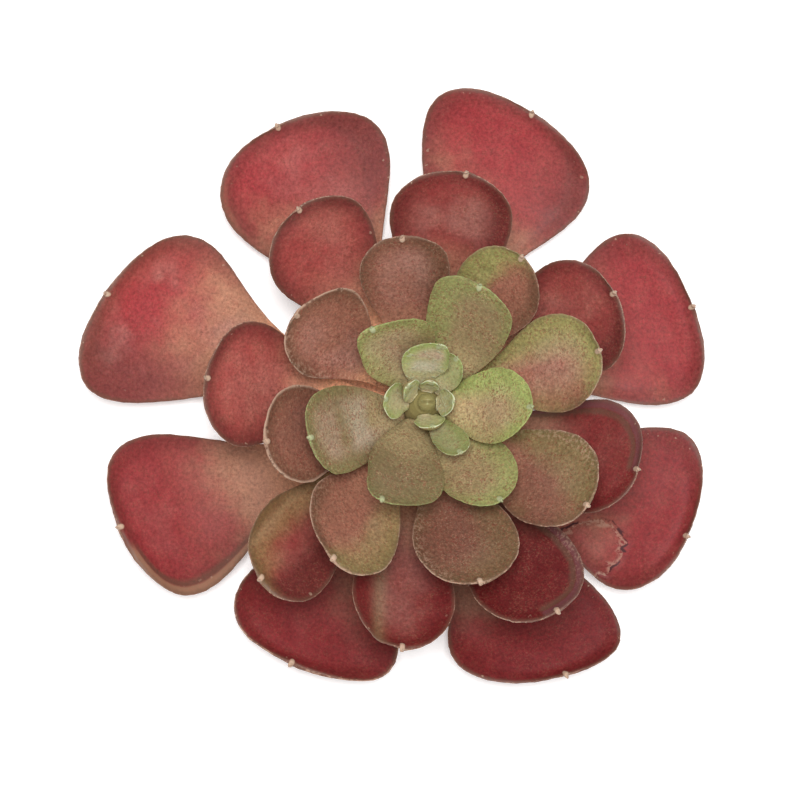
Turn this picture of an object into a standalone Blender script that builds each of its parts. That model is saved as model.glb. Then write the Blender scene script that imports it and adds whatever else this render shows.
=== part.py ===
"""Lipstick echeveria: a cut rosette of spoon-shaped leaves on a short stem stub.

The rosette rests on its stem's flat cut end and on the bellies of its outer leaves.
Every leaf is one closed body that follows the same formula, from a flat foot that
hugs the stem, through a narrow neck, to a broad blade with a raised lip and a small
point at its tip. Lengths below are millimetres and angles are degrees.
"""
import math
from collections import namedtuple

import bmesh
import bpy

MM = 0.001

# Stem: a dome that stands on its cut end
STEM_RADIUS = 8.5
STEM_HEIGHT = 34.0
STEM_STEPS = 24
STEM_RINGS = 9
CLEARANCE = 0.3

# Stations along a leaf, as shares of the way from foot to point
FOOT_END = 0.07
FLANK_END = 0.5
BLADE_END = 0.85

# Shape rules that all leaves share
LIP_START = 0.72
RIM_BLUNTNESS = 0.7
RIM_THINNING = 0.5
EDGE_CROWDING = 0.25
BEND_START = 0.35
FULL_BLADE = 0.5
RIPPLES = 20.0
RIPPLE_LEAN = 1.3

Whorl = namedtuple("Whorl", "name foot_height pitch_foot pitch_tip widest roundness flank neck "
                            "thickness lip cup point_length point_radius ripple segments rings "
                            "colour roughness")

OUTER = Whorl("outer", 4.5, -14, 30, 0.82, 2.4, 1.45, 2.7, 1.4, 1.4, 0.10, 1.1, 0.7, 0.45,
              16, 14, (0.42, 0.075, 0.085, 1), 0.55)
SECOND = Whorl("second", 12.5, 12, 38, 0.77, 2.2, 1.3, 2.5, 1.3, 1.1, 0.14, 1.0, 0.65, 0.4,
               16, 12, (0.34, 0.085, 0.075, 1), 0.55)
THIRD = Whorl("third", 19.0, 25, 45, 0.73, 2.1, 1.2, 2.3, 1.15, 0.8, 0.15, 0.9, 0.6, 0.3,
              12, 12, (0.29, 0.14, 0.09, 1), 0.55)
FOURTH = Whorl("fourth", 25.0, 40, 50, 0.64, 2.0, 0.65, 3.1, 1.0, 0.5, 0.16, 0.8, 0.5, 0.2,
               12, 11, (0.30, 0.27, 0.12, 1), 0.5)
HEART = Whorl("heart", 29.5, 46, 62, 0.62, 2.1, 0.75, 1.9, 0.75, 0.3, 0.25, 0.5, 0.35, 0.1,
              12, 9, (0.36, 0.40, 0.20, 1), 0.5)

Leaf = namedtuple("Leaf", "bearing reach half_width foot_bearing point_shift skew bow roll lift "
                          "raised cup widest roundness",
                  defaults=(0, 0, 0, 0, 0, 0, None, None, None))

# Leaves of each whorl, from the one at the upper right and on clockwise
LEAVES = [
    (OUTER, [
        Leaf(70, 88.4, 25.2, 69, point_shift=-0.08, skew=0.2),
        Leaf(21, 82.7, 24.7, 22, point_shift=-0.06, lift=-0.5),
        Leaf(-24, 84.2, 24, -21, point_shift=-0.1, roll=-4, lift=-0.4, roundness=2.15),
        Leaf(-63, 85, 23, -66, point_shift=0.12, skew=0.22, roll=-5, lift=-0.3),
        Leaf(-114.5, 79.8, 24, -111, point_shift=-0.1, lift=-0.7),
        Leaf(-157, 89.6, 23, -156, point_shift=-0.05, bow=2),
        Leaf(162, 92.4, 25.2, 159, point_shift=-0.08, skew=0.3, lift=0.2),
        Leaf(116, 86.8, 24.8, 114, point_shift=0.06, widest=0.79, roundness=2.3),
    ]),
    (SECOND, [
        Leaf(82, 63.5, 16.8, 80, point_shift=-0.1, skew=0.05),
        Leaf(29.5, 60, 16.5, 33, point_shift=0.05),
        Leaf(-17.5, 61, 16, -14, roll=-4),
        Leaf(-59.7, 67.2, 15.5, -57, point_shift=0.1, roll=-4),
        Leaf(-97, 67.5, 14.3, -96, point_shift=0.05, roll=-4, cup=0.24, roundness=1.9),
        Leaf(-132.5, 67, 13.4, -138, point_shift=-0.1, skew=0.25, roll=-4, cup=0.2),
        Leaf(174, 60.8, 17, 172, roll=-4),
        Leaf(124, 63.3, 15.6, 124, skew=-0.12, roll=-4),
    ]),
    (THIRD, [
        Leaf(100, 45.2, 12.2, 100, roll=-6, widest=0.76, roundness=2.4),
        Leaf(57.5, 46.4, 12, 57, skew=0.08, roll=-6),
        Leaf(16.5, 48, 13.3, 16, roll=-6),
        Leaf(-32.5, 51, 14, -31, point_shift=-0.1, roll=-6),
        Leaf(-75.5, 51, 14.3, -74, roll=-6),
        Leaf(-122.3, 50.8, 14, -121, skew=0.22, roll=-6),
        Leaf(-166, 46.5, 13.2, -166, roll=-6),
        Leaf(145, 43.3, 13.2, 145, point_shift=0.15, skew=-0.05, roll=-6),
    ]),
    (FOURTH, [
        Leaf(67.5, 33.7, 11.8, 46, bow=-1.4, roll=-8, lift=-3, widest=0.78, roundness=2.7),
        Leaf(-4, 27, 10.4, -4, roll=-6, lift=4, raised=1.8, roundness=1.8),
        Leaf(-55.5, 33, 10.6, -57, roll=-8, lift=-4),
        Leaf(-109, 31, 10.8, -112, point_shift=-0.45, roll=-6, lift=2, raised=1.8, roundness=1.9),
        Leaf(-163, 35, 11.7, -163, skew=-0.1, roll=-8, lift=-5, widest=0.74, roundness=2.7),
        Leaf(119, 24.8, 10.6, 122, point_shift=0.45, roll=-6, lift=3, raised=1.8, roundness=2.4),
    ]),
    (HEART, [
        Leaf(176, 12, 5, 180, roll=-8, lift=-6),
        Leaf(92, 16, 6.4, 111, point_shift=-0.45, roll=-16, lift=2),
        Leaf(56, 14.8, 4.6, 38, roll=-14, lift=-12),
        Leaf(-60, 16.6, 4.5, -60, roll=-8, lift=-2, widest=0.68, roundness=2.4),
        Leaf(-79, 7.4, 4.2, -94, lift=8, raised=1.8),
        Leaf(0, 7.4, 3.8, -2, lift=13, raised=1.8, cup=0.45),
        Leaf(142, 7.4, 3.3, 154, lift=9, raised=1.8),
        Leaf(78, 6, 2.6, 80, lift=18, raised=1.8),
    ]),
]

# Bud: a closed pair of new leaves on top of the dome
BUD_RADIUS = 2.9
BUD_FOOT = STEM_HEIGHT + CLEARANCE
BUD_HEIGHT = 5.0
BUD_SEGMENTS = 12
BUD_RINGS = 10

STEM_COLOUR = (0.30, 0.24, 0.13, 1)
BUD_COLOUR = (0.33, 0.36, 0.16, 1)


def clamp(value):
    return min(max(value, 0.0), 1.0)


def smooth(value):
    value = clamp(value)
    return value * value * (3 - 2 * value)


def quarter(share, power):
    """A quarter turn's sine and cosine, each raised to a power."""
    angle = share * math.pi / 2
    return math.sin(angle) ** power, max(math.cos(angle), 0.0) ** power


def leaf_point(whorl, leaf, phase, station, turn):
    """The surface point at a station from foot to point and a turn about the midrib."""
    turn -= EDGE_CROWDING * math.sin(2 * turn)
    side = math.cos(turn)
    face = math.sin(turn)
    foot = clamp(station / FOOT_END)
    flank = clamp((station - FOOT_END) / (FLANK_END - FOOT_END))
    end = clamp((station - FLANK_END) / (BLADE_END - FLANK_END))
    tip = clamp((station - BLADE_END) / (1 - BLADE_END))

    widest = leaf.widest or whorl.widest
    roundness = leaf.roundness or whorl.roundness
    end_rise, end_fall = quarter(end, 2 / roundness)
    along = widest * flank + (1 - widest) * end_rise
    foot_share = quarter(foot, 0.7)[0]
    knob = whorl.point_radius * quarter(tip, 0.7)[1] * end ** 6
    blade = whorl.neck + (leaf.half_width - whorl.neck) * smooth(flank ** whorl.flank)
    width = math.hypot(blade * foot_share * end_fall, knob)
    depth = math.hypot(whorl.thickness * foot_share * quarter(end, 0.5)[1], knob)

    across = width * side
    share = across / leaf.half_width
    bend = smooth((along - BEND_START) / (1 - BEND_START))
    shifted = across + leaf.point_shift * leaf.half_width * (1 - share ** 2) * bend
    end_sine, end_cosine = quarter(end, 2)
    edge = (abs(side) ** roundness * end_cosine + end_sine) ** (1 / roundness)
    spread = smooth(along / FULL_BLADE)
    cup = leaf.cup or whorl.cup
    near_rim = smooth((edge - LIP_START) / (1 - LIP_START))
    rise = (whorl.lip * near_rim * spread
            + cup * leaf.half_width * share ** 2
            + whorl.ripple * edge ** 3 * spread
            * math.sin(RIPPLES * station + RIPPLE_LEAN * side + phase))
    rise += depth * (1 - RIM_THINNING * near_rim) * math.copysign(abs(face) ** RIM_BLUNTNESS, face)
    rise += 0.5 * whorl.point_length * tip ** 2

    pitch_foot = math.radians(whorl.pitch_foot + leaf.lift)
    pitch_tip = math.radians(whorl.pitch_tip + leaf.lift)
    bending = pitch_tip - pitch_foot
    height = whorl.foot_height + leaf.raised
    foot_radius = STEM_RADIUS * math.sqrt(1 - (height / STEM_HEIGHT) ** 2) + CLEARANCE
    foot_turn = math.radians(leaf.foot_bearing - leaf.bearing)
    foot_out = foot_radius * math.cos(foot_turn)
    foot_aside = foot_radius * math.sin(foot_turn)
    length = (leaf.reach - foot_out) * bending / (math.sin(pitch_tip) - math.sin(pitch_foot))
    pitch = pitch_foot + bending * (along + leaf.skew * shifted * bend / length)
    out = foot_out + length * (math.sin(pitch) - math.sin(pitch_foot)) / bending
    up = height + length * (math.cos(pitch_foot) - math.cos(pitch)) / bending
    aside = foot_aside * (1 - along) ** 2 + leaf.bow * 4 * along * (1 - along)

    roll = math.radians(leaf.roll) * smooth(along)
    aside += shifted * math.cos(roll) - rise * math.sin(roll)
    normal = shifted * math.sin(roll) + rise * math.cos(roll)
    out += whorl.point_length * tip * math.cos(pitch) - normal * math.sin(pitch)
    up += whorl.point_length * tip * math.sin(pitch) + normal * math.cos(pitch)
    return clear_of_stem(out, aside, up)


def clear_of_stem(out, aside, up):
    """Move a point off the stem, and flatten it where it would sink into the ground."""
    inside = math.sqrt((out ** 2 + aside ** 2) / (STEM_RADIUS + CLEARANCE) ** 2
                       + (up / (STEM_HEIGHT + CLEARANCE)) ** 2)
    grow = 1 / min(inside, 1.0)
    return out * grow, aside * grow, max(up * grow, 0.0)


def make_material(name, colour, roughness):
    material = bpy.data.materials.new(name)
    material.use_nodes = True
    shader = material.node_tree.nodes["Principled BSDF"]
    shader.inputs["Base Color"].default_value = colour
    shader.inputs["Roughness"].default_value = roughness
    shader.inputs["Metallic"].default_value = 0.0
    return material


def add_object(name, mesh, material, collection, parent):
    item = bpy.data.objects.new(name, mesh)
    item.data.materials.append(material)
    item.parent = parent
    collection.objects.link(item)
    return item


def shaped_sphere(name, segments, rings, place):
    """A mesh from a UV sphere, with each point moved to place(station, turn)."""
    shape = bmesh.new()
    bmesh.ops.create_uvsphere(shape, u_segments=segments, v_segments=rings, radius=1)
    upper = [face for face in shape.faces if face.calc_center_median().y > 0]
    lower = [face for face in shape.faces if face.calc_center_median().y <= 0]
    bmesh.ops.triangulate(shape, faces=upper, quad_method="FIXED")
    bmesh.ops.triangulate(shape, faces=lower, quad_method="ALTERNATE")
    for vertex in shape.verts:
        station = math.acos(min(max(-vertex.co.z, -1.0), 1.0)) / math.pi
        turn = math.atan2(vertex.co.y, vertex.co.x)
        vertex.co = [MM * value for value in place(station, turn)]
    mesh = bpy.data.meshes.new(name)
    shape.to_mesh(mesh)
    shape.free()
    mesh.shade_smooth()
    return mesh


def make_stem(collection, parent):
    """The dome's outline, turned about the upright axis."""
    profile = []
    for ring in range(STEM_RINGS + 1):
        angle = math.pi / 2 * ring / STEM_RINGS
        profile.append((STEM_RADIUS * math.sin(angle), 0, STEM_HEIGHT * math.cos(angle)))
    profile.append((0, 0, 0))
    points = [[MM * value for value in point] for point in profile]
    mesh = bpy.data.meshes.new("stem")
    mesh.from_pydata(points, [(i, i + 1) for i in range(len(points) - 1)], [])
    material = make_material("stem_skin", STEM_COLOUR, 0.7)
    stem = add_object("stem", mesh, material, collection, parent)
    screw = stem.modifiers.new("turn", "SCREW")
    screw.steps = STEM_STEPS
    screw.render_steps = STEM_STEPS
    screw.use_merge_vertices = True
    screw.merge_threshold = 1e-6
    screw.use_smooth_shade = True
    return stem


def bud_point(station, turn):
    """A blunt spindle that stands on the dome's top."""
    swell = math.sin(math.pi * station) ** 0.75 * (1 - 0.35 * station)
    out = BUD_RADIUS * swell * math.cos(turn)
    aside = BUD_RADIUS * swell * math.sin(turn)
    dome = (out ** 2 + aside ** 2) / (2 * STEM_RADIUS ** 2 / STEM_HEIGHT)
    return out, aside, BUD_FOOT + BUD_HEIGHT * station - dome * (1 - station)


def make_leaves(collection, parent):
    for whorl, leaves in LEAVES:
        material = make_material("leaf_" + whorl.name, whorl.colour, whorl.roughness)
        for number, leaf in enumerate(leaves, 1):
            name = "leaf_%s_%d" % (whorl.name, number)

            def place(station, turn):
                return leaf_point(whorl, leaf, float(number), station, turn)

            mesh = shaped_sphere(name, whorl.segments, whorl.rings, place)
            item = add_object(name, mesh, material, collection, parent)
            item.rotation_euler.z = math.radians(leaf.bearing)


def make_bud(collection, parent):
    mesh = shaped_sphere("bud", BUD_SEGMENTS, BUD_RINGS, bud_point)
    add_object("bud", mesh, make_material("bud_skin", BUD_COLOUR, 0.5), collection, parent)


def main():
    for item in list(bpy.data.objects):
        bpy.data.objects.remove(item)
    collection = bpy.data.collections.new("lipstick_echeveria")
    bpy.context.scene.collection.children.link(collection)
    rosette = bpy.data.objects.new("rosette", None)
    collection.objects.link(rosette)
    make_stem(collection, rosette)
    make_leaves(collection, rosette)
    make_bud(collection, rosette)


main()
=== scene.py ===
"""Lipstick echeveria: the looks of a cut rosette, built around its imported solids.

Every leaf grows from one Geometry Nodes tree, whose formula follows the solid that the
leaf replaces and adds the rim, the small point, creases and the unevenness of a real
leaf. The tree also stores where each point lies on its leaf, and the skin reads that.
Lengths in the leaf tables are millimetres and angles are degrees.
"""
import math
from collections import namedtuple

import bpy
from mathutils import Matrix, Vector


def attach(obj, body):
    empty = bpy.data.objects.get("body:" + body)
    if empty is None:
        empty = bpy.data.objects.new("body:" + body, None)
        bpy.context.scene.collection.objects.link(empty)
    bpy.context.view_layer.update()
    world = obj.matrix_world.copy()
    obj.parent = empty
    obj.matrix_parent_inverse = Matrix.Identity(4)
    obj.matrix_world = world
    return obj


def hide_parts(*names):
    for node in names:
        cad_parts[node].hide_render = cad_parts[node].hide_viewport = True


bl_info = {
    "name": "Lipstick Echeveria",
    "version": (1, 0, 0),
    "blender": (4, 5, 0),
    "location": "View3D > Sidebar > Echeveria",
    "description": "Grows the leaves, bud and stem of a cut rosette around its packed solids",
    "category": "Add Mesh",
}

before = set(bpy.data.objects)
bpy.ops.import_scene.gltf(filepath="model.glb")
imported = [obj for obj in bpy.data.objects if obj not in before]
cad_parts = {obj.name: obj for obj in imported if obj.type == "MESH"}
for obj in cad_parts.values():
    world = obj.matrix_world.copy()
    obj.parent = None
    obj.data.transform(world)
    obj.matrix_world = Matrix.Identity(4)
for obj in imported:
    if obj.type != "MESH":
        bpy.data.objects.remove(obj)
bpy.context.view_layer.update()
MM = 0.001

# Stem: a dome that stands on its cut end
STEM_RADIUS = 8.5
STEM_HEIGHT = 34.0
CLEARANCE = 0.3

# Stations along a leaf, as shares of the way from foot to point
FOOT_END = 0.07
FLANK_END = 0.5
BLADE_END = 0.85

# Shape rules that all leaves share
LIP_START = 0.72
RIM_BLUNTNESS = 0.7
RIM_THINNING = 0.5
EDGE_CROWDING = 0.25
BEND_START = 0.35
FULL_BLADE = 0.5
RIPPLES = 20.0
RIPPLE_LEAN = 1.3
CREASE_WIDTH = 0.14
RIDGE_WIDTH = 0.8
RIDGE_LENGTH = 2.4
SWELLS = 1.6
FULL_SWELL_WIDTH = 14
NICK_SCALE = 420.0
TEAR_SCALE = 260.0
TEAR_RAGGEDNESS = 7.0

# Scales of the skin's noise, from broad patches to fine flecks
PATCH_SCALE = 55.0
BLOTCH_SCALE = 230.0
FOLD_SCALE = 240.0
CHIP_SCALE = 650.0
MOTTLE_SCALE = 1100.0
RED_FLECK_SCALE = 1500.0
PALE_FLECK_SCALE = 2100.0
DARK_FLECK_SCALE = 2300.0

Whorl = namedtuple("Whorl", "name foot_height pitch_foot pitch_tip widest roundness flank neck "
                            "thickness lip cup point_length point_radius ripple segments rings")

OUTER = Whorl("outer", 4.5, -14, 30, 0.82, 2.4, 1.45, 2.7, 1.4, 1.4, 0.10, 1.1, 0.7, 0.45, 120, 96)
SECOND = Whorl("second", 12.5, 12, 38, 0.77, 2.2, 1.3, 2.5, 1.3, 1.1, 0.14, 1.0, 0.65, 0.4, 104, 88)
THIRD = Whorl("third", 19.0, 25, 45, 0.73, 2.1, 1.2, 2.3, 1.15, 0.8, 0.15, 0.9, 0.6, 0.3, 96, 80)
FOURTH = Whorl("fourth", 25.0, 40, 50, 0.64, 2.0, 0.65, 3.1, 1.0, 0.5, 0.16, 0.8, 0.5, 0.2, 96, 72)
HEART = Whorl("heart", 29.5, 46, 62, 0.62, 2.1, 0.75, 1.9, 0.75, 0.3, 0.25, 0.5, 0.35, 0.1, 80, 64)

# A leaf's brightness value is partly its own colour and partly painted shade and light for how the leaf
# lies in the light.
# A leaf's one-sided darkening is painted shade.
# Bloom above 1 adds a painted highlight.
Leaf = namedtuple("Leaf", "bearing reach half_width foot_bearing point_shift skew bow roll lift "
                          "raised cup widest roundness tone green bloom dusk crease crease_at "
                          "rim scurf band tear",
                  defaults=(0, 0, 0, 0, 0, 0, None, None, None, 1.0, 0.0, 0.2, 0.0, 0.0, 0.0,
                            1.0, 0.0, 0.0, 0))

# Leaves of each whorl, from the one at the upper right and on clockwise
LEAVES = {
    "outer": [
        Leaf(70, 88.4, 25.2, 69, point_shift=-0.08, skew=0.2, tone=0.97, bloom=0, dusk=-0.4),
        Leaf(21, 82.7, 24.7, 22, point_shift=-0.06, lift=-0.5, tone=0.93, bloom=0),
        Leaf(-24, 84.2, 24, -21, point_shift=-0.1, roll=-4, lift=-0.4, roundness=2.15, tone=0.74,
             dusk=-0.2, tear=10),
        Leaf(-63, 85, 23, -66, point_shift=0.12, skew=0.22, roll=-5, lift=-0.3, tone=0.48, bloom=0),
        Leaf(-114.5, 79.8, 24, -111, point_shift=-0.1, lift=-0.7, tone=0.58, bloom=0.1, dusk=0.4, rim=1.7),
        Leaf(-157, 89.6, 23, -156, point_shift=-0.05, bow=2, tone=0.8, dusk=0.25, band=1),
        Leaf(162, 92.4, 25.2, 159, point_shift=-0.08, skew=0.3, lift=0.2, tone=1.04, green=0.06,
             bloom=0.95, dusk=0.6),
        Leaf(116, 86.8, 24.8, 114, point_shift=0.06, widest=0.79, roundness=2.3, tone=1.02, bloom=0.4,
             dusk=-0.5, band=0.35),
    ],
    "second": [
        Leaf(82, 63.5, 16.8, 80, point_shift=-0.1, skew=0.05, tone=0.9, bloom=0.5, dusk=-0.4),
        Leaf(29.5, 60, 16.5, 33, point_shift=0.05, tone=0.95, bloom=0.3, dusk=-0.4),
        Leaf(-17.5, 61, 16, -14, roll=-4, tone=0.62, bloom=0.1, dusk=-0.4, band=2),
        Leaf(-59.7, 67.2, 15.5, -57, point_shift=0.1, roll=-4, tone=0.38, bloom=0, rim=1.2, scurf=0.5,
             band=3),
        Leaf(-97, 67.5, 14.3, -96, point_shift=0.05, roll=-4, cup=0.24, roundness=1.9, tone=0.6, bloom=0.4,
             crease=1, crease_at=-0.45, dusk=0.5),
        Leaf(-132.5, 67, 13.4, -138, point_shift=-0.1, skew=0.25, roll=-4, cup=0.2, tone=0.92,
             green=0.5, dusk=0.9,
             crease=0.8, crease_at=-0.65),
        Leaf(174, 60.8, 17, 172, roll=-4, tone=1.3, bloom=0.3),
        Leaf(124, 63.3, 15.6, 124, skew=-0.12, roll=-4, tone=1.2),
    ],
    "third": [
        Leaf(100, 45.2, 12.2, 100, roll=-6, widest=0.76, roundness=2.4, tone=0.9, bloom=0.6, dusk=-0.5),
        Leaf(57.5, 46.4, 12, 57, skew=0.08, roll=-6, tone=1.03, green=1, dusk=-0.3),
        Leaf(16.5, 48, 13.3, 16, roll=-6, tone=1.1, green=0.9, bloom=0.8),
        Leaf(-32.5, 51, 14, -31, point_shift=-0.1, roll=-6, tone=0.74, green=0.85, rim=1.4, scurf=0.7),
        Leaf(-75.5, 51, 14.3, -74, roll=-6, tone=0.6, green=0.7, rim=1.4, scurf=-0.9),
        Leaf(-122.3, 50.8, 14, -121, skew=0.22, roll=-6, tone=1.02, green=0.5, dusk=-0.25, bloom=0.6,
             rim=1.5,
             scurf=-0.5),
        Leaf(-166, 46.5, 13.2, -166, roll=-6, tone=0.85, rim=2.6),
        Leaf(145, 43.3, 13.2, 145, point_shift=0.15, skew=-0.05, roll=-6, bloom=0.6, rim=2, scurf=1),
    ],
    "fourth": [
        Leaf(67.5, 33.7, 11.8, 46, bow=-1.4, roll=-8, lift=-3, widest=0.78, roundness=2.7, tone=0.81,
             green=0.9),
        Leaf(-4, 27, 10.4, -4, roll=-6, lift=4, raised=1.8, roundness=1.8, tone=1.14, green=1, bloom=0.7),
        Leaf(-55.5, 33, 10.6, -57, roll=-8, lift=-4, tone=0.92, green=0.7, bloom=0.4),
        Leaf(-109, 31, 10.8, -112, point_shift=-0.45, roll=-6, lift=2, raised=1.8, roundness=1.9,
             tone=0.64, green=0.15),
        Leaf(-163, 35, 11.7, -163, skew=-0.1, roll=-8, lift=-5, widest=0.74, roundness=2.7,
             tone=0.72, green=0.1, bloom=1.5),
        Leaf(119, 24.8, 10.6, 122, point_shift=0.45, roll=-6, lift=3, raised=1.8, roundness=2.4,
             tone=1.0, green=0.5, bloom=0.7),
    ],
    "heart": [
        Leaf(176, 12, 5, 180, roll=-8, lift=-6, tone=1.08, green=0.5, bloom=0.8, rim=2),
        Leaf(92, 16, 6.4, 111, point_shift=-0.45, roll=-16, lift=2, tone=1.2, bloom=2.4, rim=1.5),
        Leaf(56, 14.8, 4.6, 38, roll=-14, lift=-12, bloom=0.5, green=0.3),
        Leaf(-60, 16.6, 4.5, -60, roll=-8, lift=-2, widest=0.68, roundness=2.4, tone=0.8, green=0.9),
        Leaf(-79, 7.4, 4.2, -94, lift=8, raised=1.8, tone=1.2, green=0.3, bloom=0.8, rim=1.6),
        Leaf(0, 7.4, 3.8, -2, lift=13, raised=1.8, cup=0.45, tone=1.25, bloom=1.3, rim=2.5),
        Leaf(142, 7.4, 3.3, 154, lift=9, raised=1.8, tone=1.25, bloom=1.5, rim=2),
        Leaf(78, 6, 2.6, 80, lift=18, raised=1.8, tone=1.3, bloom=1.5, rim=2),
    ],
}

# Torn patch on one outer leaf: the middle of its arc in metres, and the height of its edge
TEAR_PLACE = (0.0485, -0.0375, 0.014)
TEAR_HEIGHT = 0.0005

# Bud: a closed pair of new leaves on top of the dome
BUD_RADIUS = 2.9
BUD_FOOT = STEM_HEIGHT + CLEARANCE
BUD_HEIGHT = 5.0
BUD_SEGMENTS = 72
BUD_RINGS = 48

# Camera: it looks almost straight down, with +X to the right and +Y to the top
CAMERA_TARGET = (-6.0, 1.1, 25.0)
CAMERA_LEAN_X = 6.3
CAMERA_LEAN_Y = 2.6
CAMERA_DISTANCE = 1000.0
CAMERA_LENS = 165.0
SENSOR_WIDTH = 36.0

# Light: two soft lamps above, given by place, size and power in metres and watts
KEY_LAMP = ((-0.18, 0.14, 1.35), 0.45, 15.5)
FILL_LAMP = ((0.2, -0.1, 1.4), 0.9, 8.0)
LAMP_TARGET = (0, 0, 0.02)
ROOM_LIGHT = 0.45
FLOOR_GLOW = 0.25
FLOOR_DROP = 0.02


class Value:
    """A socket that takes part in arithmetic: each operator adds one Math node."""

    def __init__(self, graph, socket):
        self.graph = graph
        self.socket = socket

    def __add__(self, other):
        return maths("ADD", self, other)

    def __radd__(self, other):
        return maths("ADD", other, self)

    def __sub__(self, other):
        return maths("SUBTRACT", self, other)

    def __rsub__(self, other):
        return maths("SUBTRACT", other, self)

    def __mul__(self, other):
        return maths("MULTIPLY", self, other)

    def __rmul__(self, other):
        return maths("MULTIPLY", other, self)

    def __truediv__(self, other):
        return maths("DIVIDE", self, other)

    def __rtruediv__(self, other):
        return maths("DIVIDE", other, self)

    def __pow__(self, other):
        return maths("POWER", self, other)

    def __neg__(self):
        return maths("MULTIPLY", self, -1.0)

    def __abs__(self):
        return maths("ABSOLUTE", self)


class Graph:
    """A node tree under construction, with one method that adds any node."""

    def __init__(self, tree):
        self.tree = tree
        self.tree.nodes.clear()

    def add(self, kind, settings, *positional, output=0, **named):
        """Add a node, apply its settings, then fill its sockets by place or by name."""
        node = self.tree.nodes.new(kind)
        for name, value in settings.items():
            setattr(node, name, value)
        for index, value in enumerate(positional):
            self.fill(node.inputs[index], value)
        for name, value in named.items():
            self.fill(node.inputs[name.replace("_", " ")], value)
        return Value(self, node.outputs[output])

    def fill(self, socket, value):
        if isinstance(value, Value):
            self.tree.links.new(value.socket, socket)
        elif value is not None:
            socket.default_value = value

    def noise(self, where, scale, detail=2.0, roughness=0.5, seed=0.0):
        return self.add("ShaderNodeTexNoise", {"noise_dimensions": "4D"}, Vector=where, W=seed,
                        Scale=scale, Detail=detail, Roughness=roughness)

    def step(self, value, low, high):
        """A smooth step from 0 at low to 1 at high."""
        return self.add("ShaderNodeMapRange", {"interpolation_type": "SMOOTHSTEP"},
                        value, low, high, 0.0, 1.0)

    def mix(self, share, first, second, blend="MIX"):
        return self.add("ShaderNodeMix",
                        {"data_type": "RGBA", "blend_type": blend, "clamp_factor": True},
                        share, None, None, None, None, None, first, second, output=2)


def maths(operation, *terms):
    graph = next(term.graph for term in terms if isinstance(term, Value))
    return graph.add("ShaderNodeMath", {"operation": operation}, *terms)


def clamp(value):
    return value.graph.add("ShaderNodeClamp", {}, value, 0.0, 1.0)


def smooth(value):
    return value.graph.step(value, 0.0, 1.0)


def quarter(share, power):
    """A quarter turn's sine and cosine, each raised to a power."""
    angle = share * (math.pi / 2)
    return maths("SINE", angle) ** power, maths("MAXIMUM", maths("COSINE", angle), 0.0) ** power


def hypotenuse(a, b):
    return maths("SQRT", a * a + b * b)


# Inputs of the leaf tree: name, kind of socket, subtype
LEAF_INPUTS = [
    ("Segments", "NodeSocketInt", "NONE"), ("Rings", "NodeSocketInt", "NONE"),
    ("Bearing", "NodeSocketFloat", "ANGLE"), ("Foot Bearing", "NodeSocketFloat", "ANGLE"),
    ("Reach", "NodeSocketFloat", "DISTANCE"), ("Half Width", "NodeSocketFloat", "DISTANCE"),
    ("Foot Height", "NodeSocketFloat", "DISTANCE"),
    ("Pitch at Foot", "NodeSocketFloat", "ANGLE"), ("Pitch at Tip", "NodeSocketFloat", "ANGLE"),
    ("Widest", "NodeSocketFloat", "NONE"), ("Roundness", "NodeSocketFloat", "NONE"),
    ("Flank", "NodeSocketFloat", "NONE"), ("Neck", "NodeSocketFloat", "DISTANCE"),
    ("Thickness", "NodeSocketFloat", "DISTANCE"), ("Lip", "NodeSocketFloat", "DISTANCE"),
    ("Cup", "NodeSocketFloat", "NONE"), ("Point Length", "NodeSocketFloat", "DISTANCE"),
    ("Point Radius", "NodeSocketFloat", "DISTANCE"), ("Ripple", "NodeSocketFloat", "DISTANCE"),
    ("Point Shift", "NodeSocketFloat", "NONE"), ("Skew", "NodeSocketFloat", "NONE"),
    ("Bow", "NodeSocketFloat", "DISTANCE"), ("Roll", "NodeSocketFloat", "ANGLE"),
    ("Phase", "NodeSocketFloat", "NONE"), ("Seed", "NodeSocketFloat", "NONE"),
    ("Rim Bead", "NodeSocketFloat", "DISTANCE"), ("Nicks", "NodeSocketFloat", "DISTANCE"),
    ("Unevenness", "NodeSocketFloat", "DISTANCE"), ("Point Ridge", "NodeSocketFloat", "DISTANCE"),
    ("Crease", "NodeSocketFloat", "DISTANCE"), ("Crease At", "NodeSocketFloat", "NONE"),
    ("Tone", "NodeSocketFloat", "NONE"), ("Green", "NodeSocketFloat", "NONE"),
    ("Bloom", "NodeSocketFloat", "NONE"), ("Dusk", "NodeSocketFloat", "NONE"),
    ("Rim", "NodeSocketFloat", "NONE"), ("Scurf", "NodeSocketFloat", "NONE"),
    ("Band", "NodeSocketFloat", "NONE"), ("Tear Radius", "NodeSocketFloat", "DISTANCE"),
    ("Skin", "NodeSocketMaterial", "NONE"),
]


# Inputs of the bud tree: name, kind of socket, subtype
BUD_INPUTS = [
    ("Segments", "NodeSocketInt", "NONE"), ("Rings", "NodeSocketInt", "NONE"),
    ("Radius", "NodeSocketFloat", "DISTANCE"), ("Height", "NodeSocketFloat", "DISTANCE"),
    ("Foot", "NodeSocketFloat", "DISTANCE"), ("Cleft", "NodeSocketFloat", "DISTANCE"),
    ("Skin", "NodeSocketMaterial", "NONE"),
]


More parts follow.
